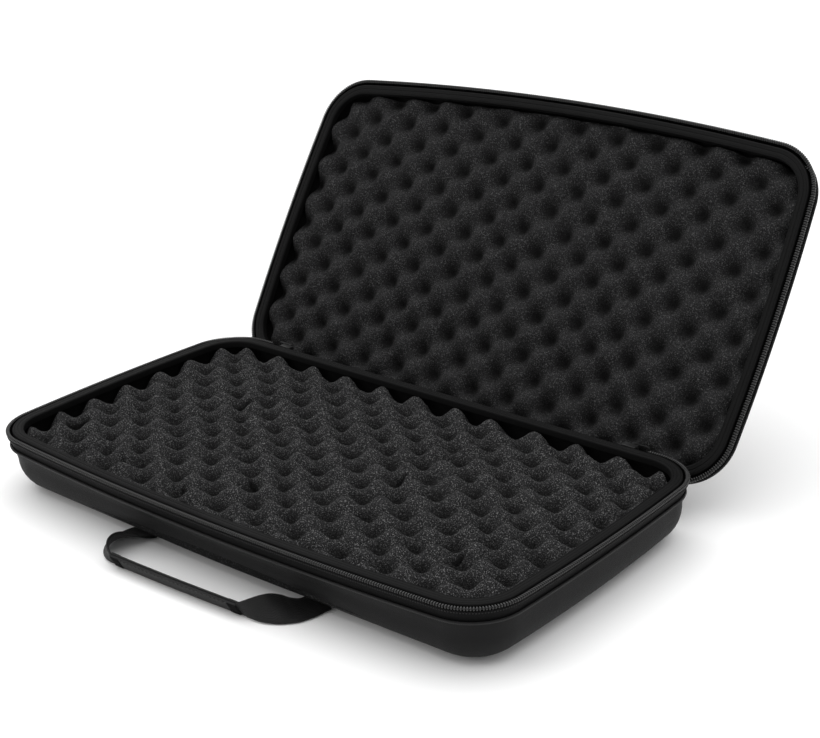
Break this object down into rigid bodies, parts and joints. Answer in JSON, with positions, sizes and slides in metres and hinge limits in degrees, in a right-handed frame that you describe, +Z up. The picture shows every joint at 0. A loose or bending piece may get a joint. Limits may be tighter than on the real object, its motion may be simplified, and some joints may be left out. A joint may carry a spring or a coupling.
{
  "type": "miniature carry case",
  "caption": "Zipped hard-shell carry case shown open, with egg-crate foam in both halves, a fabric hinge, zip sliders and a folded webbing handle.",
  "frame": {"origin": "on the floor, under the middle of the bottom half's flat base", "axes": "+Z up, +X along the hinge towards the case's right, front with the handle towards -Y"},
  "size_m": [0.4792, 0.4607, 0.2527],
  "materials": {
    "shell_fabric": "satin woven cloth over moulded foam",
    "lining": "matte knitted cloth",
    "foam": "open-cell foam",
    "binding": "smooth satin binding",
    "zip_tape": "woven tape",
    "zip_coil": "moulded nylon coil",
    "piping": "stitched satin cord",
    "hinge_fabric": "coarse woven cloth",
    "webbing": "ribbed woven webbing",
    "stitching": "thread",
    "slider_metal": "black enamel"
  },
  "bodies": {
    "bottom": {"bottom_shell": "shell_fabric", "bottom_lining": "lining", "bottom_foam": "foam", "bottom_rim_binding": "binding", "bottom_zip_tape": "zip_tape", "bottom_zip_coil": "zip_coil", "bottom_seam_piping": "piping", "bottom_hinge_flange": "hinge_fabric", "left_strap_anchor": "webbing", "right_strap_anchor": "webbing"},
    "hinge": {"hinge_strip": "hinge_fabric"},
    "lid": {"lid_shell": "shell_fabric", "lid_lining": "lining", "lid_foam": "foam", "lid_rim_binding": "binding", "lid_zip_tape": "zip_tape", "lid_zip_coil": "zip_coil", "lid_seam_piping": "piping", "lid_hinge_flange": "hinge_fabric"},
    "left_slider": {"left_zip_slider": "slider_metal", "left_pull_pin": "slider_metal"},
    "right_slider": {"right_zip_slider": "slider_metal", "right_pull_pin": "slider_metal"},
    "left_pull": {"left_pull_tab": "slider_metal"},
    "right_pull": {"right_pull_tab": "slider_metal"},
    "handle": {"left_strap": "webbing", "right_strap": "webbing", "handle_grip": "webbing", "left_bar_tack": "stitching", "right_bar_tack": "stitching"}
  },
  "joints": [
    {"name": "strip_fold", "type": "hinge", "parent": "bottom", "child": "hinge", "pos_m": [0, 0.1382, 0.0375], "axis": [1, 0, 0], "range_deg": [0, 149.38]},
    {"name": "lid_fold", "type": "hinge", "parent": "hinge", "child": "lid", "pos_m": [0, 0.15093, 0.01599], "axis": [1, 0, 0], "range_deg": [-26.38, 0]},
    {"name": "left_slider_travel", "type": "slide", "parent": "bottom", "child": "left_slider", "axis": [-1, 0, 0], "range_m": [0, 0.009]},
    {"name": "right_slider_travel", "type": "slide", "parent": "bottom", "child": "right_slider", "axis": [1, 0, 0], "range_m": [0, 0.009]},
    {"name": "left_pull_flip", "type": "hinge", "parent": "left_slider", "child": "left_pull", "pos_m": [-0.1705, 0.1399, 0.0468], "axis": [0, 0, -1], "range_deg": [0, 170]},
    {"name": "right_pull_flip", "type": "hinge", "parent": "right_slider", "child": "right_pull", "pos_m": [0.1705, 0.1399, 0.0468], "axis": [0, 0, 1], "range_deg": [0, 170]},
    {"name": "handle_swing", "type": "hinge", "parent": "bottom", "child": "handle", "pos_m": [0, -0.10841, 0.001], "axis": [-1, 0, 0], "range_deg": [-90, 15]}
  ],
  "couplings": [
    {"joint": "lid_fold", "follows": "strip_fold", "ratio": -0.1766}
  ]
}
